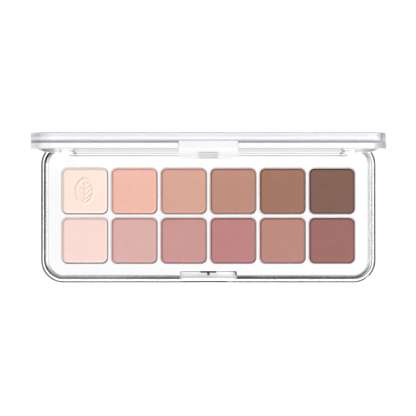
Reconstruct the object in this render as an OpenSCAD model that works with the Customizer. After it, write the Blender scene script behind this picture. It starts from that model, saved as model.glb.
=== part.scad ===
// Slim twelve-pan eyeshadow palette with a thick clear lid, shown open.
// Origin on the resting plane under the middle of the base. +X right, +Y to the hinge, +Z up.
// Lid pieces are modelled closed, then turned about the hinge by lid_open.

/* [Case] */
// Width of the base and the lid, left to right
case_w = 156; // [150:0.5:170]
// Depth of the base and the lid, front to rear
case_d = 65.3; // [65:0.1:70]
// Radius of the four corners in plan
corner_r = 10.25; // [9:0.25:12]
// Height of the base
base_h = 7; // [7:0.1:9]
// Width of the flat rim on top of the clear wall
rim_land = 1.4; // [1.3:0.1:1.6]
// Width of the stepped shoulder inside that rim
shoulder_w = 1.7; // [1.5:0.1:1.8]
// Thickness of the clear floor
floor_t = 1; // [0.8:0.1:1.5]

/* [Tray] */
// Height of the tray's deck above the resting plane
deck_z = 6.1; // [5.9:0.1:6.4]
// Pans in each row
columns = 6; // [2:1:6]
// Distance between pan centres, both ways
pitch = 23.05; // [22.5:0.05:23.1]
// Side of each well's square opening
well_w = 21.9; // [21:0.1:22]
// How far the middle of the wells lies in front of the middle of the case
wells_forward = 1.5; // [1:0.1:1.6]

/* [Pans] */
// Side of a metal pan, outside
pan_w = 21.7; // [20:0.1:21.8]
// Wall of a metal pan
pan_wall = 0.3; // [0.2:0.05:0.4]
// Width of the bevel round each powder
powder_bevel = 1.05; // [0.5:0.05:1.5]
// Height of the leaf raised on the first powder
leaf_h = 0.28; // [0.1:0.02:0.4]

/* [Lid] */
// Angle that the lid is open, 0 when closed
lid_open = 90; // [0:1:120]
// Angle at which the lid meets its stop
lid_stop = 120; // [100:1:120]
// Height of the lid's inner frame
frame_h = 2.75; // [2.5:0.05:3]
// Thickness of the clear plate outside the frame
plate_t = 4.5; // [3.5:0.1:5]
// Width of the frame's border round the mirror
frame_border = 3; // [2.5:0.1:4]
// Thickness of the mirror glass
mirror_t = 1; // [0.8:0.1:1.2]

/* [Hinge] */
// Distance of the hinge axis from the rear face, and from the seam between lid and base
hinge_in = 2.4; // [2.4:0.1:2.6]
// Radius of a steel hinge pin
pin_r = 0.6; // [0.5:0.05:0.7]
// Radial clearance of a pin in the lid
pin_play = 0.05; // [0.02:0.01:0.08]
// Width of a lug on the base
lug_w = 4.8; // [4:0.1:5]
// Distance from the middle of the case to the inner end of a hinge pocket
pocket_x = 61.8; // [60:0.1:62]
// Width of a hinge pocket in the lid
pocket_w = 7; // [6.6:0.1:7]

/* [Latch] */
// Width of the latch tab
tab_w = 25.6; // [20:0.1:26]
// How far the tab reaches below the seam
tab_drop = 4.7; // [4.5:0.1:4.8]
// Width of the recess that takes the tab
recess_w = 26.4; // [26.2:0.1:28]
// Depth of the fingertip dip in the front wall
dip_depth = 3.9; // [2:0.1:4.2]
// Radius of the fingertip dip
dip_r = 22; // [18:1:24]

/* [Hidden] */
$fn = 64;
e = 1;                                  // how far a cutter runs past the face it cuts
seam_gap = 0.05;                        // between closed lid and base
fit_gap = 0.03;                         // between pieces glued or snapped together
edge_r = 0.7;                           // rounding of the rim's outer edge
bevel_w = 0.65;                         // width of each bevel on the shoulder
foot_r = 0.8;                           // rounding of the base's bottom edge

wall = rim_land + shoulder_w;           // full thickness of the clear wall
tray_w = case_w - 2 * wall - 2 * fit_gap;
tray_d = case_d - 2 * wall - 2 * fit_gap;
tray_r = corner_r - wall;
tray_t = 1.3;                           // thickness of the deck
well_floor = floor_t + 0.8;
well_r = 2.95;
well_wall = 1.1;
ledge_y = 26.3;                         // front edge of the step at the rear of the deck
ledge_x = 64.9;
ledge_drop = 0.45;
groove_y = 27.6;                        // fine groove along the step, under the open lid's edge

pan_top = deck_z - 0.25;
pan_r = 2.85;
powder_w = pan_w - 2 * pan_wall - 2 * fit_gap;
powder_r = pan_r - pan_wall;
powder_top = deck_z - 0.1;
bevel_h = 0.45;
leaf_l = 13;
leaf_w = 9;

hinge_y = case_d / 2 - hinge_in;
hinge_z = base_h + hinge_in;
hinge_land = 0.15;                      // the base is this much lower under the lid's rear bar
over = lid_stop - 90;                   // travel past upright
lug_r = 2;
pocket_r = 2.3;
lug_x = pocket_x + pocket_w - 0.4 - lug_w;
neck_back = 0.3;                        // how far a lug's neck reaches behind the axis
pin_grip = 1.7;                         // depth of a pin's bore at each end

plate_z = base_h + frame_h;
frame_floor = 0.8;
frame_bevel = 0.25;                     // bevel on the frame's edge at the seam
plate_r = 0.8;                          // rounding of the clear plate's edges
bar_x = 72;                             // half length of the thick bar along the lid's rear edge
bar_top = hinge_z + 2.8;
bar_front = hinge_y - 3;
mirror_z = plate_z - frame_floor - 0.15 - mirror_t;
mirror_w = case_w - 2 * frame_border - 2;
mirror_y0 = -case_d / 2 + frame_border + 1;
mirror_y1 = hinge_y - 4;
mirror_r = corner_r - frame_border - 1;

recess_back = case_d / 2 - 5.35;        // recess's rear wall, measured forward of the middle
recess_front = case_d / 2 - 1.85;
recess_floor = 1.6;
tab_y0 = case_d / 2;                    // front faces and backs of the tab, forward of the middle
tab_y1 = recess_front - 0.5;
tab_y2 = tab_y1 - 1.4;
tab_top = plate_z + 0.65;
tab_low = base_h - tab_drop;
hook_w = 7.2;

label_w = 60;
label_d = 18;
label_y = 16;                           // middle of the label under the base, behind the origin

columns_x = [for (i = [0:columns - 1]) (i - (columns - 1) / 2) * pitch];
rows_y = [pitch / 2 - wells_forward, -pitch / 2 - wells_forward];
row_names = ["rear", "front"];
shades = [
    [[0.99, 0.88, 0.82], [0.95, 0.72, 0.65], [0.85, 0.65, 0.58],
     [0.75, 0.55, 0.49], [0.64, 0.47, 0.40], [0.52, 0.39, 0.34]],
    [[0.97, 0.85, 0.81], [0.86, 0.69, 0.66], [0.80, 0.59, 0.58],
     [0.75, 0.52, 0.52], [0.74, 0.54, 0.50], [0.63, 0.43, 0.41]]
];

function pan_name(row, col) = str("pan_", row_names[row], "_", col + 1);
function powder_name(row, col) = str("powder_", row_names[row], "_", col + 1);

// ---- shapes used by several pieces ----

// A rectangle with round corners, centred
module round_rect(w, d, r) {
    square([w - 2 * r, d], center = true);
    square([w, d - 2 * r], center = true);
    for (x = [-1, 1], y = [-1, 1]) translate([x * (w / 2 - r), y * (d / 2 - r)]) circle(r);
}

// A block with round corners in plan and square edges
module block(w, d, r, z0, z1) {
    translate([0, 0, z0]) linear_extrude(z1 - z0) round_rect(w, d, r);
}

// An upright section, centred on x, whose bottom and top edges are rounded
module section(w, h, bottom, top) {
    translate([-w / 2, bottom]) square([w, h - bottom - top]);
    translate([-w / 2 + bottom, 0]) square([w - 2 * bottom, h - top]);
    translate([-w / 2 + top, bottom]) square([w - 2 * top, h - bottom]);
    for (x = [-1, 1]) {
        translate([x * (w / 2 - bottom), bottom]) circle(bottom);
        translate([x * (w / 2 - top), h - top]) circle(top);
    }
}

// A block with round corners in plan and rounded bottom and top edges
module soft_block(w, d, r, z0, z1, bottom, top) {
    h = z1 - z0;
    translate([0, 0, z0]) {
        rotate([90, 0, 90]) linear_extrude(w - 2 * r, center = true) section(d, h, bottom, top);
        rotate([90, 0, 0]) linear_extrude(d - 2 * r, center = true) section(w, h, bottom, top);
        for (x = [-1, 1], y = [-1, 1]) translate([x * (w / 2 - r), y * (d / 2 - r)])
            rotate_extrude() intersection() {
                section(2 * r, h, bottom, top);
                square([r, h]);
            }
    }
}

// A block with round corners whose outline grows by grow on every side from z0 to z1
module flared_block(w, d, r, z0, z1, grow) {
    h = z1 - z0;
    translate([0, 0, z0]) {
        rotate([90, 0, 90]) linear_extrude(w - 2 * r, center = true)
            polygon([[-d / 2, 0], [d / 2, 0], [d / 2 + grow, h], [-d / 2 - grow, h]]);
        rotate([90, 0, 0]) linear_extrude(d - 2 * r, center = true)
            polygon([[-w / 2, 0], [w / 2, 0], [w / 2 + grow, h], [-w / 2 - grow, h]]);
        for (x = [-1, 1], y = [-1, 1]) translate([x * (w / 2 - r), y * (d / 2 - r), 0])
            cylinder(h, r, r + grow);
    }
}

// A section drawn about the hinge axis, x to the rear and y up, carried from x0 to x1
module across(x0, x1) {
    translate([x0, hinge_y, hinge_z]) rotate([90, 0, 90]) linear_extrude(x1 - x0) children();
}

// A cylinder along the hinge axis from x0 to x1
module along_hinge(r, x0, x1) {
    translate([x0, hinge_y, hinge_z]) rotate([0, 90, 0]) cylinder(x1 - x0, r, r);
}

// Puts a piece modelled on the closed lid at the angle the lid is open
module on_lid() {
    translate([0, hinge_y, hinge_z]) rotate([-lid_open, 0, 0])
        translate([0, -hinge_y, -hinge_z]) children();
}

// A child on the right, and its mirror image on the left
module both_sides() {
    children();
    mirror([1, 0, 0]) children();
}

module at_pan(row, col) {
    translate([columns_x[col], rows_y[row], 0]) children();
}

// ---- base ----

// What the tilted lid's rear face sweeps from the base's rear edge
module rear_relief() {
    translate([0, hinge_y, hinge_z]) rotate([-over, 0, 0])
        translate([-case_w, 0, -hinge_in - hinge_land]) cube([2 * case_w, 20, 20]);
    translate([-case_w, hinge_y - hinge_in - 0.25, base_h - hinge_land]) cube([2 * case_w, 20, e]);
}

module lug() {
    across(lug_x, lug_x + lug_w) {
        circle(lug_r);
        translate([-lug_r, -hinge_in - e]) square([lug_r + neck_back, hinge_in + e]);
        translate([-lug_r - 0.5, floor_t - hinge_z]) square([lug_r + e, base_h - floor_t - 0.4]);
    }
}

// Two bevels with a narrow flat step between them, inside the rim
module shoulder() {
    step = rim_land + bevel_w;
    step_z = (base_h + deck_z) / 2;
    flared_block(case_w - 2 * step, case_d - 2 * step, corner_r - step, step_z, base_h, bevel_w);
    flared_block(case_w - 2 * wall, case_d - 2 * wall, tray_r, deck_z - 0.05, step_z, bevel_w);
}

// Room for the tab, and a shallow dip in the front wall that lets a fingertip reach it
module front_notch() {
    translate([-recess_w / 2, -recess_front, floor_t]) cube([recess_w, 3, base_h]);
    translate([0, -recess_front + e, dip_r + base_h - dip_depth]) rotate([90, 0, 0])
        cylinder(10, dip_r, dip_r, $fn = 128);
}

module base_shell() {
    color([0.93, 0.94, 0.98, 0.35]) difference() {
        union() {
            difference() {
                soft_block(case_w, case_d, corner_r, 0, base_h, foot_r, edge_r);
                block(case_w - 2 * wall, case_d - 2 * wall, tray_r, floor_t, base_h + e);
                shoulder();
                rear_relief();
                front_notch();
                translate([0, label_y, 0]) block(label_w + 1, label_d + 1, 3, -e, 0.2);
            }
            both_sides() lug();
        }
        both_sides() along_hinge(pin_r, lug_x - e, lug_x + lug_w + e);
    }
}

// Wells with a hole through each floor, for pushing a pan out
module wells() {
    for (row = [0:1], col = [0:columns - 1]) at_pan(row, col) {
        block(well_w, well_w, well_r, well_floor, deck_z + e);
        cylinder(well_floor + e, 2.5, 2.5);
    }
}

module lug_notch() {
    translate([lug_x - 0.2, hinge_y - lug_r - 0.7, 0]) cube([lug_w + 0.4, 10, 10]);
    translate([pocket_x - 0.15, ledge_y, deck_z - ledge_drop - 0.35]) cube([0.3, 10, 10]);
    translate([pocket_x, hinge_y - hinge_in - 0.45, deck_z - ledge_drop - 1.6])
        linear_extrude(10) translate([pocket_w / 2 + 0.5, 5]) round_rect(pocket_w + 1.5, 10, 2.6);
}

module tray_recess() {
    translate([0, -(recess_back + recess_front) / 2, 0]) {
        block(recess_w - 0.2, recess_front - recess_back, 0.8, recess_floor, deck_z + e);
        flared_block(recess_w - 0.2, recess_front - recess_back, 0.8, deck_z - 0.3, deck_z, 0.3);
    }
    translate([-hook_w / 2, -recess_back - 0.6, floor_t + 0.25]) cube([hook_w, 0.6, recess_floor]);
    translate([-0.4, -recess_back - 2, floor_t + 0.25]) cube([0.8, 2, recess_floor]);
    translate([-hook_w / 2, -recess_back - 0.1, 2.6]) cube([hook_w, 1.4, 1.4]);
}

module tray() {
    block_w = (columns - 1) * pitch + well_w + 2 * well_wall;
    block_d = pitch + well_w + 2 * well_wall;
    color([0.97, 0.97, 0.98]) difference() {
        union() {
            soft_block(tray_w, tray_d, tray_r, deck_z - tray_t, deck_z, 0.15, 0.25);
            difference() {
                block(tray_w, tray_d, tray_r, floor_t, deck_z - 0.5);
                block(tray_w - 2, tray_d - 2, tray_r - 1, floor_t - e, deck_z);
            }
            translate([0, -wells_forward, 0]) block(block_w, block_d, well_r + well_wall, floor_t, deck_z - 0.5);
            translate([-recess_w / 2 - 1, -tray_d / 2, floor_t])
                cube([recess_w + 2, tray_d / 2 - recess_back + 1.1, deck_z - floor_t - 0.5]);
            translate([-recess_w / 2 + fit_gap, -recess_front + fit_gap, floor_t])
                cube([recess_w - 2 * fit_gap, 3, recess_floor - floor_t]);
        }
        wells();
        tray_recess();
        translate([0, ledge_y + 10, deck_z - ledge_drop]) linear_extrude(e) round_rect(2 * ledge_x, 20, 1);
        translate([0, groove_y, deck_z - ledge_drop - 0.3]) linear_extrude(e)
            square([2 * pocket_x + 1, 0.35], center = true);
        both_sides() lug_notch();
    }
}

module bottom_label() {
    color([0.96, 0.96, 0.96]) translate([0, label_y, 0]) block(label_w, label_d, 2.5, 0.08, 0.18);
}

module hinge_pin() {
    color([0.75, 0.76, 0.78])
        along_hinge(pin_r, pocket_x - pin_grip + 0.1, pocket_x + pocket_w + pin_grip - 0.1);
}

module hinge_pin_left() {
    mirror([1, 0, 0]) hinge_pin();
}

module hinge_pin_right() {
    hinge_pin();
}

// ---- pans and powders ----

module pan(row, col) {
    color([0.80, 0.81, 0.83]) at_pan(row, col) difference() {
        soft_block(pan_w, pan_w, pan_r, well_floor + 0.05, pan_top, 0.3, 0.1);
        block(pan_w - 2 * pan_wall, pan_w - 2 * pan_wall, powder_r, well_floor + 0.35, pan_top + e);
    }
}

// A leaf outline that stands l tall and w wide, pointed at both ends
module leaf(l, w) {
    r = (l * l + w * w) / (4 * w);
    intersection_for (s = [-1, 1]) translate([s * (r - w / 2), 0]) circle(r);
}

module leaf_relief() {
    difference() {
        leaf(leaf_l, leaf_w);
        leaf(leaf_l - 3.6, leaf_w - 2.4);
    }
    square([0.7, leaf_l - 2.5], center = true);
    for (y = [-2.4, 0, 2.4], s = [-1, 1]) translate([0, y]) rotate(90 - s * 50) translate([0, -0.25])
        square([leaf_w / 2 - abs(y) * 0.35 - 0.6, 0.5]);
}

module powder(row, col) {
    z0 = well_floor + 0.37;
    z1 = powder_top - bevel_h;
    color(shades[row][col]) at_pan(row, col) {
        block(powder_w, powder_w, powder_r, z0, z1);
        flared_block(powder_w, powder_w, powder_r, z1, powder_top, -powder_bevel);
        if (row == 0 && col == 0) translate([0, 0, powder_top - 0.1])
            linear_extrude(leaf_h + 0.1) leaf_relief();
    }
}

// ---- lid ----

// Room for a lug as the lid turns from closed to its stop
module lug_pocket() {
    low = -hinge_in - e;
    across(pocket_x, pocket_x + pocket_w) {
        circle(pocket_r);
        translate([bar_front - hinge_y - 0.3, low]) square([10, -low - 0.7]);
        translate([-pocket_r, low]) square([10, -low]);
        rotate(over) translate([0, -2]) square([4, 2 + neck_back + 0.2]);
    }
}

// Rounds the closed lid's lower rear edge about the hinge axis
module rear_rounding() {
    across(-case_w, case_w) difference() {
        translate([0, -hinge_in - e]) square([hinge_in + e, hinge_in + e]);
        circle(hinge_in);
    }
}

module tab_notch() {
    translate([-tab_w / 2 - 0.15, -tab_y0 - e, base_h - e])
        cube([tab_w + 0.3, tab_y0 - tab_y2 + e + 0.15, tab_top - base_h + e + fit_gap]);
}

module lid_shell() {
    color([0.90, 0.91, 0.98, 0.35]) on_lid() difference() {
        soft_block(case_w, case_d, corner_r, plate_z + fit_gap, plate_z + plate_t, plate_r, plate_r);
        translate([-bar_x - fit_gap, bar_front - fit_gap, plate_z - e])
            cube([2 * bar_x + 2 * fit_gap, 10, bar_top - plate_z + e + fit_gap]);
        tab_notch();
    }
}

module lid_frame() {
    hole_d = bar_front + case_d / 2 - frame_border;
    color([0.96, 0.96, 0.97]) on_lid() difference() {
        union() {
            flared_block(case_w - 2 * frame_bevel, case_d - 2 * frame_bevel, corner_r - frame_bevel,
                         base_h + seam_gap, base_h + seam_gap + frame_bevel, frame_bevel);
            block(case_w, case_d, corner_r, base_h + seam_gap + frame_bevel, plate_z);
            intersection() {
                block(case_w, case_d, corner_r, base_h + seam_gap, bar_top);
                translate([-bar_x, bar_front, base_h]) cube([2 * bar_x, 10, 10]);
            }
        }
        translate([0, bar_front - hole_d / 2, 0])
            block(case_w - 2 * frame_border, hole_d, corner_r - frame_border, 0, plate_z - frame_floor);
        rear_rounding();
        tab_notch();
        both_sides() {
            lug_pocket();
            along_hinge(pin_r + pin_play, pocket_x - pin_grip, pocket_x + e);
            along_hinge(pin_r + pin_play, pocket_x + pocket_w - e, pocket_x + pocket_w + pin_grip);
        }
    }
}

module mirror_glass(inset, z0, z1) {
    translate([0, (mirror_y0 + mirror_y1) / 2, 0])
        block(mirror_w - 2 * inset, mirror_y1 - mirror_y0 - 2 * inset, mirror_r - inset, z0, z1);
}

module mirror_pane() {
    color([0.80, 0.85, 0.90]) on_lid() mirror_glass(0, mirror_z, mirror_z + mirror_t);
}

module mirror_tape() {
    color([0.85, 0.85, 0.86]) on_lid() mirror_glass(2, mirror_z + mirror_t, mirror_z + mirror_t + 0.15);
}

// The tab steps back behind the base's front wall, and carries grip grooves and the hook
module latch_tab() {
    web_z = base_h + seam_gap;
    color([0.95, 0.95, 0.96]) on_lid() {
        difference() {
            intersection() {
                rotate([90, 0, 90]) linear_extrude(tab_w, center = true)
                    polygon([[-tab_y0, web_z], [-tab_y1, web_z], [-tab_y1, tab_low], [-tab_y2, tab_low],
                             [-tab_y2, tab_top], [-tab_y0, tab_top]]);
                translate([0, -case_d / 2 + 8, (tab_low + tab_top) / 2 + 2]) rotate([90, 0, 0])
                    linear_extrude(10) round_rect(tab_w, tab_top - tab_low + 4, 2);
            }
            for (i = [0:2]) translate([-4.25, -tab_y1 - e, tab_low + 0.6 + i * 1.08])
                cube([8.5, 0.5 + e, 0.5]);
        }
        translate([-hook_w / 2 + 0.2, -tab_y2 - 0.1, tab_low + 0.5])
            cube([hook_w - 0.4, tab_y2 - recess_back, 0.8]);
    }
}

// ---- nodes ----

base_shell();
tray();
bottom_label();
hinge_pin_left();
hinge_pin_right();
for (row = [0:1], col = [0:columns - 1]) {
    pan(row, col);
    powder(row, col);
}
lid_shell();
lid_frame();
mirror_pane();  // mirror
mirror_tape();
latch_tab();
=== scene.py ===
"""Eyeshadow palette: materials, pressed powders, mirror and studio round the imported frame.

Lengths are in metres, in the frame's own axes: +X right, +Y to the hinge, +Z up.
"""

import math

import bmesh
import bpy
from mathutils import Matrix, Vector, noise


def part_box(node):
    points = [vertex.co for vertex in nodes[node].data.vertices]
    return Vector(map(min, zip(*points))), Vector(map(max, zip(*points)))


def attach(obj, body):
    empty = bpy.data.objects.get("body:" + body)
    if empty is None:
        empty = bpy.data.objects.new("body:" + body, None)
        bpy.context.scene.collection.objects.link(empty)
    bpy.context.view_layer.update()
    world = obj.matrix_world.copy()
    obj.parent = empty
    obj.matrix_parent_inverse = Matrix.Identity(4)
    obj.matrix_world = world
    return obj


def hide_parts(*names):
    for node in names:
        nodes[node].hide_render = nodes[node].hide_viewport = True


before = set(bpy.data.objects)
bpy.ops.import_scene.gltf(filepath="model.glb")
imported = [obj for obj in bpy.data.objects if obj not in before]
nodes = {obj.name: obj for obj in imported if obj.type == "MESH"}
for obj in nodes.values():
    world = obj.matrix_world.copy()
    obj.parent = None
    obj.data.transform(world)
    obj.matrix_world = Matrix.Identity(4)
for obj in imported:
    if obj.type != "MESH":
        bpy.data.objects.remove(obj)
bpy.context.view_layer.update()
scene = bpy.context.scene

MM = 0.001
ROWS = ("rear", "front")
COLUMNS = 6

# What each powder looks like, as screen colours out of 255, measured off the reference picture
SHADES = {
    "rear": [
        (254, 231, 218), (242, 189, 173), (218, 169, 152),
        (193, 144, 127), (164, 121, 102), (134, 100, 88),
    ],
    "front": [
        (248, 219, 211), (221, 178, 172), (206, 154, 150),
        (193, 135, 134), (190, 140, 129), (161, 112, 107),
    ],
}


# ---- camera ----

SENSOR = 36.0
LENS = 171.2
CAMERA_HEIGHT = 0.929
CAMERA_AIM = (-0.00015, 0.0021)


def add_camera():
    """Straight down, far off, with the long lens that a catalogue picture is taken with."""
    data = bpy.data.cameras.new("camera")
    data.sensor_width = SENSOR
    data.lens = LENS
    data.clip_end = 50
    camera = bpy.data.objects.new("camera", data)
    camera.location = (*CAMERA_AIM, CAMERA_HEIGHT)
    scene.collection.objects.link(camera)
    scene.camera = camera


# ---- node helpers ----


def linear(colour, share=1.0):
    """A screen colour out of 255 as linear light, times share."""
    parts = []
    for value in colour:
        s = value / 255
        parts.append(share * (s / 12.92 if s <= 0.04045 else ((s + 0.055) / 1.055) ** 2.4))
    return (*parts, 1.0)


RAMP_SPAN = 5.0


class Material:
    """A node material with a Principled shader, and short ways to add patterns to it."""

    def __init__(self, name):
        self.material = bpy.data.materials.new(name)
        self.material.use_nodes = True
        self.tree = self.material.node_tree
        self.tree.nodes.clear()
        self.output = self.tree.nodes.new("ShaderNodeOutputMaterial")
        self.shader = self.tree.nodes.new("ShaderNodeBsdfPrincipled")
        self.tree.links.new(self.shader.outputs[0], self.output.inputs["Surface"])
        self.coordinates = self.tree.nodes.new("ShaderNodeTexCoord")
        self.place = self.coordinates.outputs["Object"]

    def set(self, **values):
        """Shader sockets by name, with _ for a space."""
        for name, value in values.items():
            self.shader.inputs[name.replace("_", " ")].default_value = value
        return self

    def link(self, source, target):
        self.tree.links.new(source, self.shader.inputs[target] if isinstance(target, str) else target)

    def noise(self, scale, detail=3.0, rough=0.5, stretch=None):
        """Noise whose features are about 1 / scale metres across."""
        node = self.tree.nodes.new("ShaderNodeTexNoise")
        node.inputs["Scale"].default_value = scale
        node.inputs["Detail"].default_value = detail
        node.inputs["Roughness"].default_value = rough
        source = self.place
        if stretch:
            mapping = self.tree.nodes.new("ShaderNodeMapping")
            mapping.inputs["Scale"].default_value = stretch
            self.tree.links.new(source, mapping.inputs["Vector"])
            source = mapping.outputs[0]
        self.tree.links.new(source, node.inputs["Vector"])
        return node.outputs["Fac"]

    def span(self, source, low, high, start=0.3, end=0.7):
        """source from start to end, carried to low to high."""
        node = self.tree.nodes.new("ShaderNodeMapRange")
        node.inputs["From Min"].default_value = start
        node.inputs["From Max"].default_value = end
        node.inputs["To Min"].default_value = low
        node.inputs["To Max"].default_value = high
        self.tree.links.new(source, node.inputs["Value"])
        return node.outputs[0]

    def tint(self, source, first, second):
        """A colour between first and second by source."""
        node = self.tree.nodes.new("ShaderNodeMix")
        node.data_type = "RGBA"
        self.tree.links.new(source, node.inputs["Factor"])
        for target, colour in zip(node.inputs[6:8], (first, second)):
            if isinstance(colour, tuple):
                target.default_value = colour
            else:
                self.tree.links.new(colour, target)
        return node.outputs[2]

    def math(self, operation, *sources):
        """A Math node on up to three numbers, each a socket or a plain value."""
        node = self.tree.nodes.new("ShaderNodeMath")
        node.operation = operation
        for target, source in zip(node.inputs, sources):
            if isinstance(source, (int, float)):
                target.default_value = source
            else:
                self.tree.links.new(source, target)
        return node.outputs[0]

    def times(self, *sources):
        """The product of two or more numbers, or the place where all of several masks are 1."""
        product = sources[0]
        for source in sources[1:]:
            product = self.math("MULTIPLY", product, source)
        return product

    def less(self, first, second):
        """first minus second."""
        return self.math("SUBTRACT", first, second)

    def most(self, first, second):
        """The larger of two numbers."""
        return self.math("MAXIMUM", first, second)

    def above(self, source, level):
        """1 where source is over level, else 0."""
        return self.math("GREATER_THAN", source, level)

    def below(self, source, level):
        """1 where source is under level, else 0."""
        return self.math("LESS_THAN", source, level)

    def size(self, source):
        """source without its sign."""
        return self.math("ABSOLUTE", source)

    def either(self, choice, low, high):
        """low where choice is 0, high where it is 1, each a socket or a plain value."""
        node = self.tree.nodes.new("ShaderNodeMix")
        self.tree.links.new(choice, node.inputs[0])
        for target, source in zip(node.inputs[2:4], (low, high)):
            if isinstance(source, (int, float)):
                target.default_value = source
            else:
                self.tree.links.new(source, target)
        return node.outputs[0]

    def ramp(self, source, stops):
        """A number looked up along stops, (place in millimetres, value), each place under RAMP_SPAN."""
        node = self.tree.nodes.new("ShaderNodeValToRGB")
        self.tree.links.new(self.math("DIVIDE", source, RAMP_SPAN), node.inputs[0])
        points = node.color_ramp.elements
        while len(points) < len(stops):
            points.new(0.5)
        for i, (place, value) in enumerate(stops):
            points[i].position = place / RAMP_SPAN
            points[i].color = (value, value, value, 1)
        return node.outputs[0]

    def parts(self, source):
        """The X, Y and Z sockets of a vector."""
        node = self.tree.nodes.new("ShaderNodeSeparateXYZ")
        self.tree.links.new(source, node.inputs[0])
        return node.outputs[0], node.outputs[1], node.outputs[2]

    def bump(self, source, height):
        """Fine relief, height in metres."""
        node = self.tree.nodes.new("ShaderNodeBump")
        node.inputs["Distance"].default_value = height
        node.inputs["Strength"].default_value = 1.0
        self.tree.links.new(source, node.inputs["Height"])
        self.link(node.outputs[0], "Normal")

    def lets_lamps_through(self, share):
        """Shadow rays pass this share of light, so that the plastic casts only a faint shadow."""
        mix = self.tree.nodes.new("ShaderNodeMixShader")
        clear = self.tree.nodes.new("ShaderNodeBsdfTransparent")
        clear.inputs[0].default_value = (share, share, share, 1)
        path = self.tree.nodes.new("ShaderNodeLightPath")
        self.tree.links.new(path.outputs["Is Shadow Ray"], mix.inputs[0])
        self.tree.links.new(self.shader.outputs[0], mix.inputs[1])
        self.tree.links.new(clear.outputs[0], mix.inputs[2])
        self.tree.links.new(mix.outputs[0], self.output.inputs["Surface"])
        return self


# ---- materials ----


def clear_plastic(name, tint, milk, axis):
    """Thick polished acrylic, part milky. m.edges is 1 on the edges of its faces across the axis."""
    m = Material(name).set(Transmission_Weight=1 - milk, IOR=1.49, Roughness=0.02)
    m.normal = m.parts(m.coordinates.outputs["Normal"])
    upright = m.size(m.normal[axis])
    m.edges = m.times(m.span(upright, 1, 0, 0.985, 0.999), m.span(upright, 0, 1, 0.03, 0.2))
    m.tinted = tint
    m.bump(m.noise(260, 4, 0.6, stretch=(1, 9, 9)), 0.0015 * MM)
    return m.lets_lamps_through(0.93)


def darken(m, share):
    """Paints the colour dark by share, where real plastic bends the view to the dark end of the room."""
    drift = m.span(m.noise(16, 2), 0.94, 1.04, 0.35, 0.65)
    m.link(m.tint(m.times(share, drift), m.tinted, (0.002, 0.002, 0.003, 1)), "Base Color")
    return m.material


CASE_CORNER = 10.25 * MM
RECESS_HALF = 13.22 * MM
RECESS_REAR = -27.3 * MM
RECESS_FLOOR = 6.05 * MM  # everything in the recess lies lower than this
SLOT_HEIGHTS = (1.1 * MM, 1.65 * MM)
DIP_HALF = 20 * MM
PIN_LINE = (28.9 * MM, 29.8 * MM)
LUG_TOP = 7.05 * MM
STEP_FRONT = 26.35 * MM
POCKET_SIDES = (61.7 * MM, 63.4 * MM)
POCKET_FRONT = 27.4 * MM
HINGE_BAR_TOP = 12 * MM

# Painted shade by millimetres in from the case's outline: its edge line, and the shoulder's two bands
EDGE_LINE = [(0.5, 1), (0.62, 0)]
BAND = [(1.38, 0), (1.48, 1), (1.93, 1), (2.03, 0)]
PALE_BAND = [(2.1, 0), (2.4, 1), (3.0, 0.92), (3.55, 0.85), (3.88, 0)]

# Painted shade over the recess's floor and along its edges, and by the seam and ends of the lid
RECESS_DEPTH = [(0.85, 0.05), (1.1, 0.3), (1.9, 0.42), (2.6, 0.58), (3.3, 0.68)]
RECESS_REAR_EDGE = [(0.7, 0.68), (0.82, 0)]
RECESS_SIDE_EDGE = [(0.4, 0.7), (0.55, 0)]
PLATE_SEAM = [(0.1, 0.6), (0.8, 0.4), (1.4, 0.2), (2.0, 0)]
PLATE_END = [(2.3, 0), (3.3, 0.4), (3.75, 0.85), (4.2, 0.6), (4.9, 0.55)]
FRAME_SEAM = [(0.25, 0.6), (0.4, 0)]
FRAME_END = [(1.5, 0), (2.5, 0.4), (3.8, 0.65), (4.9, 0.75)]


def rim_place(m):
    """Inset from the case's outline in millimetres, then how far the outline there faces right, and front or
    rear."""
    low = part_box("base_shell")[0]
    place = m.parts(m.place)
    reach = []
    for i in range(2):
        past = m.less(m.size(place[i]), -low[i] - CASE_CORNER)
        reach.append(m.most(past, 0.0))
    squares = [m.times(value, value) for value in reach]
    length = m.math("SQRT", m.math("ADD", *squares))
    inset = m.math("DIVIDE", m.less(CASE_CORNER, length), MM)
    right = m.times(m.math("DIVIDE", reach[0], length), m.math("SIGN", place[0]))
    return inset, right, m.math("DIVIDE", reach[1], length)


def shoulder_shade(m, inset, right, ends):
    """Painted shade: the dark band that the stepped shoulder shows, and the paler one inside it, heaviest
    round the corners.
    """
    turned = m.span(ends, 0, 1, 0, 0.77)
    ends_twice = m.times(ends, ends)
    shift = m.times(m.math("ADD", turned, ends_twice), 0.3)
    weight = m.math("ADD", m.times(ends_twice, 0.28), m.times(right, -0.5))
    # The latch's recess cuts through the shoulder
    whole = m.above(m.size(m.parts(m.place)[0]), RECESS_HALF)
    shifted = m.less(inset, shift)
    wider = m.ramp(m.less(shifted, m.times(turned, 0.22)), BAND)
    dark = m.times(m.most(m.ramp(shifted, BAND), wider), m.math("ADD", weight, 0.5))
    weight = m.either(turned, m.math("ADD", m.times(right, 0.18), 0.32), 0.82)
    place = m.math("ADD", inset, m.span(ends, 0, 0.25, 0.8, 1))
    pale = m.times(m.ramp(place, PALE_BAND), weight)
    return m.times(m.most(dark, pale), whole)


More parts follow.
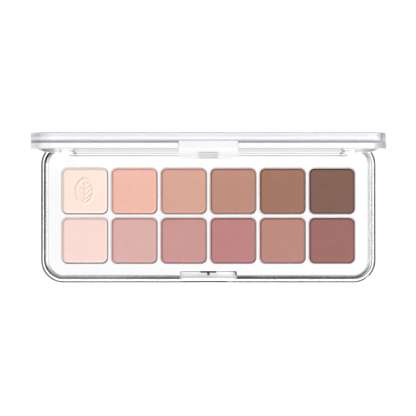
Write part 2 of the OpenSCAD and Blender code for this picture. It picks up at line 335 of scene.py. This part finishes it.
def base_plastic():
    m = clear_plastic("clear_base", (0.97, 0.972, 0.985, 1), 0.25, 2)
    x, y, z = m.normal
    across = m.parts(m.place)[0]
    # The fingertip dip slopes too, but it is broad and gets no painted dark edge
    dip = m.below(m.size(y), 0.05)
    dip = m.times(dip, m.below(m.size(across), DIP_HALF))
    edges = m.times(m.edges, m.less(1.0, dip))
    # Of the sloping faces, only the outer edge faces away from the middle of the base, and only it gets the
    # painted dark edge
    outward = m.math("ADD", m.times(x, across), m.times(y, m.parts(m.place)[1]))
    edges = m.times(edges, m.above(outward, 0))
    # The slope that the open lid rests on is broad too, and its painted dark edge is only greyish
    slope = m.times(m.above(y, 0.05), m.below(m.size(x), 0.05))
    slope = m.times(slope, m.above(z, 0.05))
    edges = m.times(edges, m.less(1.0, m.times(slope, 0.75)))
    inset, right, ends = rim_place(m)
    shade = shoulder_shade(m, inset, right, ends)
    shade = m.times(shade, m.less(2.0, shade))
    shade = m.most(shade, m.ramp(inset, EDGE_LINE))
    shade = m.times(shade, m.span(z, 0, 1, 0.03, 0.2))
    # Painted shade: a dark line through the top of each lug, where the pin shows through
    _, along, height = m.parts(m.place)
    line = m.times(m.above(along, PIN_LINE[0]), m.below(along, PIN_LINE[1]), m.above(height, LUG_TOP))
    shade = m.most(shade, m.times(line, 0.85))
    return darken(m, m.most(m.times(edges, 1.12), shade))


def lid_plastic():
    m = clear_plastic("clear_lid", None, 0.5, 1)
    # Seen through the long way, from its edge, the plate is faintly lilac: its narrow edge faces are painted
    # lighter and lilac, its broad faces greyer, as painted light
    face = m.above(m.size(m.normal[1]), 0.99)
    m.tinted = m.tint(face, (0.96, 0.96, 0.999, 1), (0.83, 0.832, 0.845, 1))
    # The painted dark edge on the outer face's rim is faint only along the free edge, where the light comes
    # in
    outer = m.either(m.above(m.normal[2], 0.3), 0.8, 0.25)
    share = m.times(m.edges, m.either(m.above(m.normal[1], 0), 0.6, outer))
    # Painted shade along the seam with the frame, and on the plate's faces turned to the right
    seam = m.less(m.parts(m.place)[1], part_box("lid_shell")[0][1])
    seam = m.ramp(m.math("DIVIDE", seam, MM), PLATE_SEAM)
    end = m.ramp(m.times(m.normal[0], RAMP_SPAN), PLATE_END)
    seam = m.most(seam, end)
    seam = m.times(seam, m.below(m.size(m.normal[1]), 0.9))
    return darken(m, m.most(share, seam))


def white_plastic(name, white):
    """Injection-moulded ABS, semi-gloss, with a very fine eroded grain. m.colour is its mottled white."""
    m = Material(name).set(IOR=1.5, Specular_IOR_Level=0.5, Coat_Weight=0.25, Coat_Roughness=0.12)
    low, high = white - 0.015, white + 0.015
    m.colour = m.tint(m.noise(45, 3), (low, low, low + 0.005, 1), (high, high, high + 0.005, 1))
    grain = m.noise(5200, 2, 0.55)
    m.link(m.span(grain, 0.30, 0.40), "Roughness")
    m.bump(grain, 0.004 * MM)
    return m


def shaded(m, share):
    """m.colour darkened by share, from 0 to 1."""
    m.colour = m.tint(share, m.colour, (0.04, 0.045, 0.05, 1))


def corner_shade(m):
    """Painted shade in the corners, where the surface is hemmed in."""
    corner = m.tree.nodes.new("ShaderNodeAmbientOcclusion")
    corner.samples = 8
    corner.inputs["Distance"].default_value = 2.5 * MM
    m.colour = m.tint(m.span(corner.outputs["AO"], 0.85, 0, 0.15, 0.7), m.colour, (0.50, 0.50, 0.52, 1))


def tray_plastic():
    m = white_plastic("white_tray", 0.815)
    x, y, z = m.parts(m.place)
    aside = m.size(x)
    # The rear step under the open lid is painted lighter, as painted light against its shade
    step = m.above(y, STEP_FRONT)
    m.colour = m.tint(step, m.colour, (0.93, 0.93, 0.935, 1))
    corner_shade(m)
    # Painted shade: the shoulder's pale band runs on over the tray's edge
    top = m.above(m.parts(m.coordinates.outputs["Normal"])[2], 0.03)
    shaded(m, m.times(shoulder_shade(m, *rim_place(m)), top))
    # Painted shade in the latch's recess, greyer along its edges and towards the front wall
    from_rear = m.math("DIVIDE", m.less(RECESS_REAR, y), MM)
    from_side = m.math("DIVIDE", m.less(RECESS_HALF, aside), MM)
    edge = m.most(m.ramp(from_rear, RECESS_REAR_EDGE), m.ramp(from_side, RECESS_SIDE_EDGE))
    depth = m.ramp(from_rear, RECESS_DEPTH)
    inside = m.times(m.above(from_rear, 0), m.above(from_side, 0), m.below(z, RECESS_FLOOR))
    shaded(m, m.times(m.most(edge, depth), inside))
    # Shade in the hinge's pockets
    pocket = m.times(m.above(aside, POCKET_SIDES[0]), m.below(aside, POCKET_SIDES[1]))
    shaded(m, m.times(pocket, m.above(y, POCKET_FRONT), 0.85))
    # The T of slots in the recess is painted black, as painted shade down in the slots
    bar = m.times(m.below(aside, 3.7 * MM), m.below(from_rear, 0.95))
    stem = m.times(m.below(aside, 0.55 * MM), m.below(from_rear, 2.1))
    slot = m.times(m.most(bar, stem), m.above(from_rear, -0.65))
    slot = m.times(slot, m.below(z, SLOT_HEIGHTS[1]), m.above(z, SLOT_HEIGHTS[0]))
    m.colour = m.tint(slot, m.colour, (0.02, 0.02, 0.022, 1))
    m.link(m.colour, "Base Color")
    return m.material


def frame_plastic():
    m = white_plastic("white_frame", 0.75)
    # The hinge bar is painted lighter, as painted light against its shade
    bar = m.below(m.parts(m.place)[2], HINGE_BAR_TOP)
    m.colour = m.tint(bar, m.colour, (0.94, 0.94, 0.945, 1))
    corner_shade(m)
    # Painted light: faces turned to the left are lighter. Painted shade along the seam with the plate, on
    # the faces turned to the right, and on the bevel that meets the base
    x, y, _ = m.parts(m.coordinates.outputs["Normal"])
    m.colour = m.tint(m.span(x, 1, 0, -0.8, -0.1), m.colour, (0.95, 0.95, 0.955, 1))
    end = m.ramp(m.times(x, RAMP_SPAN), FRAME_END)
    seam = m.less(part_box("lid_shell")[0][1], m.parts(m.place)[1])
    seam = m.ramp(m.math("DIVIDE", seam, MM), FRAME_SEAM)
    seam = m.times(m.most(seam, end), m.below(m.size(y), 0.5))
    bevel = m.times(m.below(y, -0.3), m.above(y, -0.95))
    shaded(m, m.most(seam, m.times(bevel, 0.5)))
    m.link(m.colour, "Base Color")
    return m.material


def frosted_plastic():
    """The latch tab: milky, satin and slightly see-through."""
    m = Material("frosted_plastic").set(Transmission_Weight=0.25, IOR=1.49)
    cloud = m.noise(180, 3)
    m.link(m.tint(cloud, (0.85, 0.85, 0.86, 1), (0.88, 0.88, 0.89, 1)), "Base Color")
    grain = m.noise(6000, 2)
    m.link(m.span(grain, 0.32, 0.45), "Roughness")
    m.bump(grain, 0.004 * MM)
    return m.material


def pan_metal():
    """Drawn tin-plate, with faint rolling lines, and a rim painted darker on its front and right as painted
    shade.
    """
    m = Material("pan_metal").set(Metallic=0.25)
    lines = m.noise(900, 4, 0.6, stretch=(1, 14, 14))
    first, behind, beside = (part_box(name)[0] for name in ("pan_front_1", "pan_rear_1", "pan_front_2"))
    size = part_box("pan_front_1")[1][0] - first[0]
    pitch = (beside[0] - first[0], behind[1] - first[1])
    x, y = (
        m.math("FLOORED_MODULO", m.less(m.parts(m.place)[i], first[i]), pitch[i]) for i in range(2)
    )
    # Painted shade: the rim is darker on the front and right than on the rear and left
    rear_left = m.less(m.less(size, x), m.less(size, y))
    rear_left = m.span(rear_left, 0, 1, -1 * MM, 1 * MM)
    rim_shade = m.tint(lines, (0.50, 0.50, 0.52, 1), (0.58, 0.58, 0.60, 1))
    bright = m.tint(lines, (0.80, 0.79, 0.80, 1), (0.88, 0.87, 0.88, 1))
    m.link(m.tint(rear_left, rim_shade, bright), "Base Color")
    m.link(m.span(lines, 0.34, 0.48), "Roughness")
    m.bump(lines, 0.003 * MM)
    return m.material


def pin_steel():
    """Drawn steel wire, its draw lines along the pin."""
    m = Material("pin_steel").set(Metallic=1.0)
    lines = m.noise(2500, 3, 0.6, stretch=(1, 20, 20))
    m.link(m.tint(lines, (0.12, 0.12, 0.13, 1), (0.22, 0.22, 0.23, 1)), "Base Color")
    m.link(m.span(lines, 0.2, 0.34), "Roughness")
    return m.material


def mirror_silver():
    """The silvered face, with a trace of handling haze."""
    m = Material("mirror_silver").set(Metallic=1.0)
    haze = m.noise(60, 4, 0.6)
    m.link(m.tint(haze, (0.90, 0.92, 0.93, 1), (0.93, 0.945, 0.955, 1)), "Base Color")
    m.link(m.span(haze, 0.0, 0.02), "Roughness")
    return m.material


def mirror_edge():
    """The ground edge of the mirror's glass, grey green."""
    m = Material("mirror_edge").set(IOR=1.5)
    grind = m.noise(3000, 3, stretch=(1, 6, 6))
    m.link(m.tint(grind, (0.42, 0.52, 0.49, 1), (0.56, 0.64, 0.61, 1)), "Base Color")
    m.link(m.span(grind, 0.35, 0.55), "Roughness")
    return m.material


def foam_tape():
    """White foam mounting tape."""
    m = Material("foam_tape")
    cells = m.noise(2400, 3)
    m.link(m.tint(cells, (0.70, 0.70, 0.70, 1), (0.80, 0.80, 0.79, 1)), "Base Color")
    m.set(Roughness=0.9)
    m.bump(cells, 0.02 * MM)
    return m.material


def label_film():
    """Blank label stock with a faint fibre."""
    m = Material("label_film")
    fibre = m.noise(1500, 4, 0.6, stretch=(1, 5, 1))
    m.link(m.tint(fibre, (0.76, 0.76, 0.75, 1), (0.82, 0.82, 0.81, 1)), "Base Color")
    m.set(Roughness=0.6)
    m.bump(fibre, 0.004 * MM)
    return m.material


POWDER_LIGHT = 0.872


def powder_material(name, colour):
    """Pressed powder: dead matt, with fine grains and the slight unevenness of pressing."""
    m = Material(name).set(
        Roughness=0.92, Specular_IOR_Level=0.1, Sheen_Weight=0.05, Sheen_Roughness=0.6
    )
    base = linear(colour, POWDER_LIGHT - 0.07 * (1 - colour[1] / 255) ** 0.5)
    deep = tuple(base[i] ** 1.03 * 0.98 for i in range(3)) + (1.0,)
    pale = tuple(min(1.0, base[i] * 1.015) for i in range(3)) + (1.0,)
    cloud = m.noise(220, 3, 0.55)
    grains = m.noise(7000, 2, 0.6)
    both = m.math("MULTIPLY_ADD", grains, 0.6, cloud)
    face = m.tint(m.span(both, 0, 1, 0.5, 1.1), deep, pale)
    # The bevel's colour is denser than the face's, and on the rear and left slopes, turned from the light,
    # darker still as painted shade
    x, y, z = m.parts(m.coordinates.outputs["Normal"])
    dense = tuple(base[i] ** 1.25 for i in range(3)) + (1.0,)
    bevel_in_shade = tuple(base[i] ** 1.4 for i in range(3)) + (1.0,)
    bevel = m.tint(m.span(m.less(y, x), 0, 1, -0.1, 0.2), dense, bevel_in_shade)
    m.link(m.tint(m.span(z, 1, 0, 0.9, 0.98), face, bevel), "Base Color")
    m.bump(grains, 0.012 * MM)
    return m.material


# ---- pressed powders ----

BEVEL_WIDTH = 0.85 * MM
BEVEL_DROP = 0.4 * MM
CORNER = 2.55 * MM
OFF_CENTRE = 0.03 * MM  # the powders sit a little to the rear and left in their pans
LEAF_LENGTH = 13 * MM
LEAF_WIDTH = 9 * MM
LEAF_RISE = 0.2 * MM
VEIN_SPACING = 2.3 * MM
VEIN_ANGLE = math.radians(42)


def rounded_square(half, radius, count):
    """count points round a rounded square, evenly by length, from the middle of its right side."""
    straight = 2 * (half - radius)
    arc = math.pi / 2 * radius
    around = 4 * (straight + arc)
    points = []
    for i in range(count):
        along = (i / count * around + straight / 2) % around
        side = int(along // (straight + arc))
        rest = along - side * (straight + arc)
        if rest < straight:
            x, y = half, rest - straight / 2
        else:
            turn = (rest - straight) / radius
            x = half - radius + radius * math.cos(turn)
            y = straight / 2 + radius * math.sin(turn)
        c, s = ((1, 0), (0, 1), (-1, 0), (0, -1))[side]
        points.append((x * c - y * s, x * s + y * c))
    return points


def smooth_step(value):
    value = max(0.0, min(1.0, value))
    return value * value * (3 - 2 * value)


def leaf_height(x, y):
    """Raised outline, midrib and veins of a plain leaf, from 0 to 1, about the powder's middle."""
    radius = (LEAF_LENGTH**2 + LEAF_WIDTH**2) / (4 * LEAF_WIDTH)
    inside = radius - math.hypot(abs(x) + radius - LEAF_WIDTH / 2, y)
    soft = 0.5 * MM

    def ridge(distance, half_width):
        return smooth_step((half_width - abs(distance)) / soft + 0.5)

    rim = ridge(inside - 0.55 * MM, 0.5 * MM)
    if inside < 0:
        return rim
    rib = ridge(x, 0.3 * MM)
    phase = (y - abs(x) * math.tan(VEIN_ANGLE)) / VEIN_SPACING
    vein = ridge((phase - round(phase)) * VEIN_SPACING * math.cos(VEIN_ANGLE), 0.2 * MM)
    return max(rim, rib, vein)


def powder_height(x, y, inset, seed):
    """How far the powder's top stands above the foot of its bevel."""
    edge = 0.16 * MM
    slope = min(1.0, inset / BEVEL_WIDTH)
    ease = 0.5 * edge * max(0.0, 1 - abs(inset - BEVEL_WIDTH) / edge) ** 2
    rise = BEVEL_DROP * slope - ease * BEVEL_DROP / BEVEL_WIDTH
    wave = noise.noise(Vector((x * 160, y * 160, seed))) * 0.018 * MM
    grit = noise.noise(Vector((x * 2600, y * 2600, seed))) * 0.006 * MM
    return rise + (wave + grit) * smooth_step(inset / BEVEL_WIDTH)


def make_powder(row, column):
    """One pressed powder, shaped over its CAD solid's own box."""
    node = f"powder_{row}_{column + 1}"
    low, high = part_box(node)
    half = (high[0] - low[0]) / 2 - OFF_CENTRE
    middle = (low[0] + half, high[1] - half)
    embossed = row == "rear" and column == 0
    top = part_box(f"powder_front_{column + 1}")[1][2] - 0.025 * MM
    foot = top - BEVEL_DROP
    count = 480 if embossed else 160
    rings = 90 if embossed else 30

    mesh = bmesh.new()
    loops = []

    def add_loop(outline, height):
        loops.append([mesh.verts.new((middle[0] + x, middle[1] + y, height(x, y))) for x, y in outline])

    outer = rounded_square(half, CORNER, count)
    add_loop(outer, lambda x, y: low[2])
    add_loop(outer, lambda x, y: foot - 0.04 * MM)
    steps = 12
    for k in range(steps + 1):
        inset = 0.03 * MM + (BEVEL_WIDTH + 0.15 * MM) * k / steps
        outline = rounded_square(half - inset, max(CORNER - inset, 0.3 * MM), count)
        add_loop(outline, lambda x, y, d=inset: foot + powder_height(x, y, d, column + 7))
    inner = rounded_square(half - inset, CORNER - inset, count)
    for k in range(1, rings):
        share = 1 - k / rings
        outline = [(x * share, y * share) for x, y in inner]

        def height(x, y):
            rise = powder_height(x, y, half, column + 7)
            return foot + rise + (LEAF_RISE * leaf_height(x, y) if embossed else 0)

        add_loop(outline, height)
    for first, second in zip(loops, loops[1:]):
        for i in range(count):
            j = (i + 1) % count
            mesh.faces.new((first[i], first[j], second[j], second[i]))
    mesh.faces.new(loops[-1])
    mesh.faces.new(list(reversed(loops[0])))
    bmesh.ops.recalc_face_normals(mesh, faces=mesh.faces)

    data = bpy.data.meshes.new(f"pressed_{row}_{column + 1}")
    mesh.to_mesh(data)
    mesh.free()
    data.polygons.foreach_set("use_smooth", [True] * len(data.polygons))
    piece = bpy.data.objects.new(f"pressed_{row}_{column + 1}", data)
    scene.collection.objects.link(piece)
    data.materials.append(powder_material(f"powder_{row}_{column + 1}", SHADES[row][column]))
    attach(piece, "base")
    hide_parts(node)


# ---- mirror ----

MIRROR_CORNER = 6.25 * MM
MIRROR_BEVEL = (0.9 * MM, 0.12 * MM)  # width across the face, and depth


def make_mirror():
    """Glass with a ground bevel round a silvered face, in place of the plain slab."""
    low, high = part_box("mirror")
    width, height = high[0] - low[0], high[2] - low[2]
    centre = [(low[i] + high[i]) / 2 for i in range(3)]
    steps = 14
    mesh = bmesh.new()

    def outline(inset, y):
        points = []
        for quarter in range(4):
            cx = (width / 2 - MIRROR_CORNER) * (1 if quarter in (0, 3) else -1)
            cz = (height / 2 - MIRROR_CORNER) * (1 if quarter in (0, 1) else -1)
            for k in range(steps + 1):
                a = math.pi / 2 * (quarter + k / steps)
                r = MIRROR_CORNER - inset
                points.append((centre[0] + cx + r * math.cos(a), y, centre[2] + cz + r * math.sin(a)))
        return [mesh.verts.new(p) for p in points]

    across, deep = MIRROR_BEVEL
    loops = [outline(0, high[1]), outline(0, low[1] + deep), outline(across, low[1])]
    for index, (first, second) in enumerate(zip(loops, loops[1:])):
        count = len(first)
        for i in range(count):
            j = (i + 1) % count
            made = mesh.faces.new((first[i], first[j], second[j], second[i]))
            made.material_index = 0 if index == 1 else 1
    mesh.faces.new(loops[-1])
    mesh.faces.new(list(reversed(loops[0])))
    bmesh.ops.recalc_face_normals(mesh, faces=mesh.faces)
    data = bpy.data.meshes.new("mirror_glass")
    mesh.to_mesh(data)
    mesh.free()
    piece = bpy.data.objects.new("mirror_glass", data)
    scene.collection.objects.link(piece)
    data.materials.append(mirror_silver())
    data.materials.append(mirror_edge())
    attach(piece, "lid")
    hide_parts("mirror")


# ---- the frame's own nodes ----


def paint(node, material):
    """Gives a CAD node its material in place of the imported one."""
    piece = nodes[node]
    piece.data.materials.clear()
    piece.data.materials.append(material)


def paint_nodes():
    paint("base_shell", base_plastic())
    paint("lid_shell", lid_plastic())
    paint("tray", tray_plastic())
    paint("lid_frame", frame_plastic())
    paint("latch_tab", frosted_plastic())
    paint("mirror_tape", foam_tape())
    paint("bottom_label", label_film())
    steel = pin_steel()
    for side in ("left", "right"):
        paint(f"hinge_pin_{side}", steel)
    metal = pan_metal()
    for row in ROWS:
        for column in range(COLUMNS):
            paint(f"pan_{row}_{column + 1}", metal)


# ---- studio ----

FLOOR_HALF = 12.0
FLOOR_GLOW = 0.74
SKY_LIGHT = 0.42


def add_floor():
    """A pale matt floor just under the palette, lit mostly by itself so that it comes out white."""
    mesh = bpy.data.meshes.new("floor")
    corners = [(x * FLOOR_HALF, y * FLOOR_HALF, -0.02 * MM) for x, y in ((-1, -1), (1, -1), (1, 1), (-1, 1))]
    mesh.from_pydata(corners, [], [(0, 1, 2, 3)])
    floor = bpy.data.objects.new("floor", mesh)
    scene.collection.objects.link(floor)
    m = Material("floor_paper").set(Base_Color=(0.93, 0.93, 0.93, 1), Roughness=0.9, Specular_IOR_Level=0.0)
    m.set(Emission_Color=(1, 1, 1, 1), Emission_Strength=FLOOR_GLOW)
    mesh.materials.append(m.material)


def add_sky():
    """Soft white light from above that falls off to a dark band at the horizon."""
    world = bpy.data.worlds.new("studio")
    scene.world = world
    world.use_nodes = True
    tree = world.node_tree
    tree.nodes.clear()
    output = tree.nodes.new("ShaderNodeOutputWorld")
    back = tree.nodes.new("ShaderNodeBackground")
    place = tree.nodes.new("ShaderNodeTexCoord")
    split = tree.nodes.new("ShaderNodeSeparateXYZ")
    ramp = tree.nodes.new("ShaderNodeValToRGB")
    tree.links.new(place.outputs["Generated"], split.inputs[0])
    tree.links.new(split.outputs["Z"], ramp.inputs[0])
    tree.links.new(ramp.outputs[0], back.inputs[0])
    stops = ramp.color_ramp.elements
    stops[0].position = 0.2
    stops[0].color = (0.05, 0.05, 0.055, 1)
    stops[1].position = 0.5
    stops[1].color = (1, 1, 1, 1)
    back.inputs["Strength"].default_value = SKY_LIGHT
    # Seen directly, past the end of the floor, the room is as pale as the floor
    plain = tree.nodes.new("ShaderNodeBackground")
    plain.inputs[0].default_value = (1, 1, 1, 1)
    mix = tree.nodes.new("ShaderNodeMixShader")
    path = tree.nodes.new("ShaderNodeLightPath")
    tree.links.new(path.outputs["Is Camera Ray"], mix.inputs[0])
    tree.links.new(back.outputs[0], mix.inputs[1])
    tree.links.new(plain.outputs[0], mix.inputs[2])
    tree.links.new(mix.outputs[0], output.inputs[0])


def add_softbox(name, place, size, power):
    """A rectangular light at place, turned to the palette."""
    data = bpy.data.lights.new(name, "AREA")
    data.shape = "RECTANGLE"
    data.size, data.size_y = size
    data.energy = power
    lamp = bpy.data.objects.new(name, data)
    lamp.location = place
    lamp.rotation_euler = (-Vector(place)).to_track_quat("-Z", "Y").to_euler()
    scene.collection.objects.link(lamp)
    return lamp


def add_studio():
    scene.view_settings.view_transform = "Standard"
    add_floor()
    add_sky()
    key = add_softbox("key", (1.5, -1.7, 1.5), (0.6, 0.6), 97)
    fill = add_softbox("fill", (-1.6, -0.3, 1.2), (0.6, 0.6), 8)
    back = add_softbox("back", (0.1, 1.0, 0.6), (0.6, 0.3), 5.2)
    # The floor and the mirror don't take the lamps, which leave no hard shadow or second highlight
    spared = bpy.data.collections.new("spared")
    for name in ("floor", "mirror_glass"):
        spared.objects.link(bpy.data.objects[name])
    for lamp in (key, fill, back):
        lamp.light_linking.receiver_collection = spared
    for item in spared.collection_objects:
        item.light_linking.link_state = "EXCLUDE"


add_camera()
paint_nodes()
for row in ROWS:
    for column in range(COLUMNS):
        make_powder(row, column)
make_mirror()
add_studio()
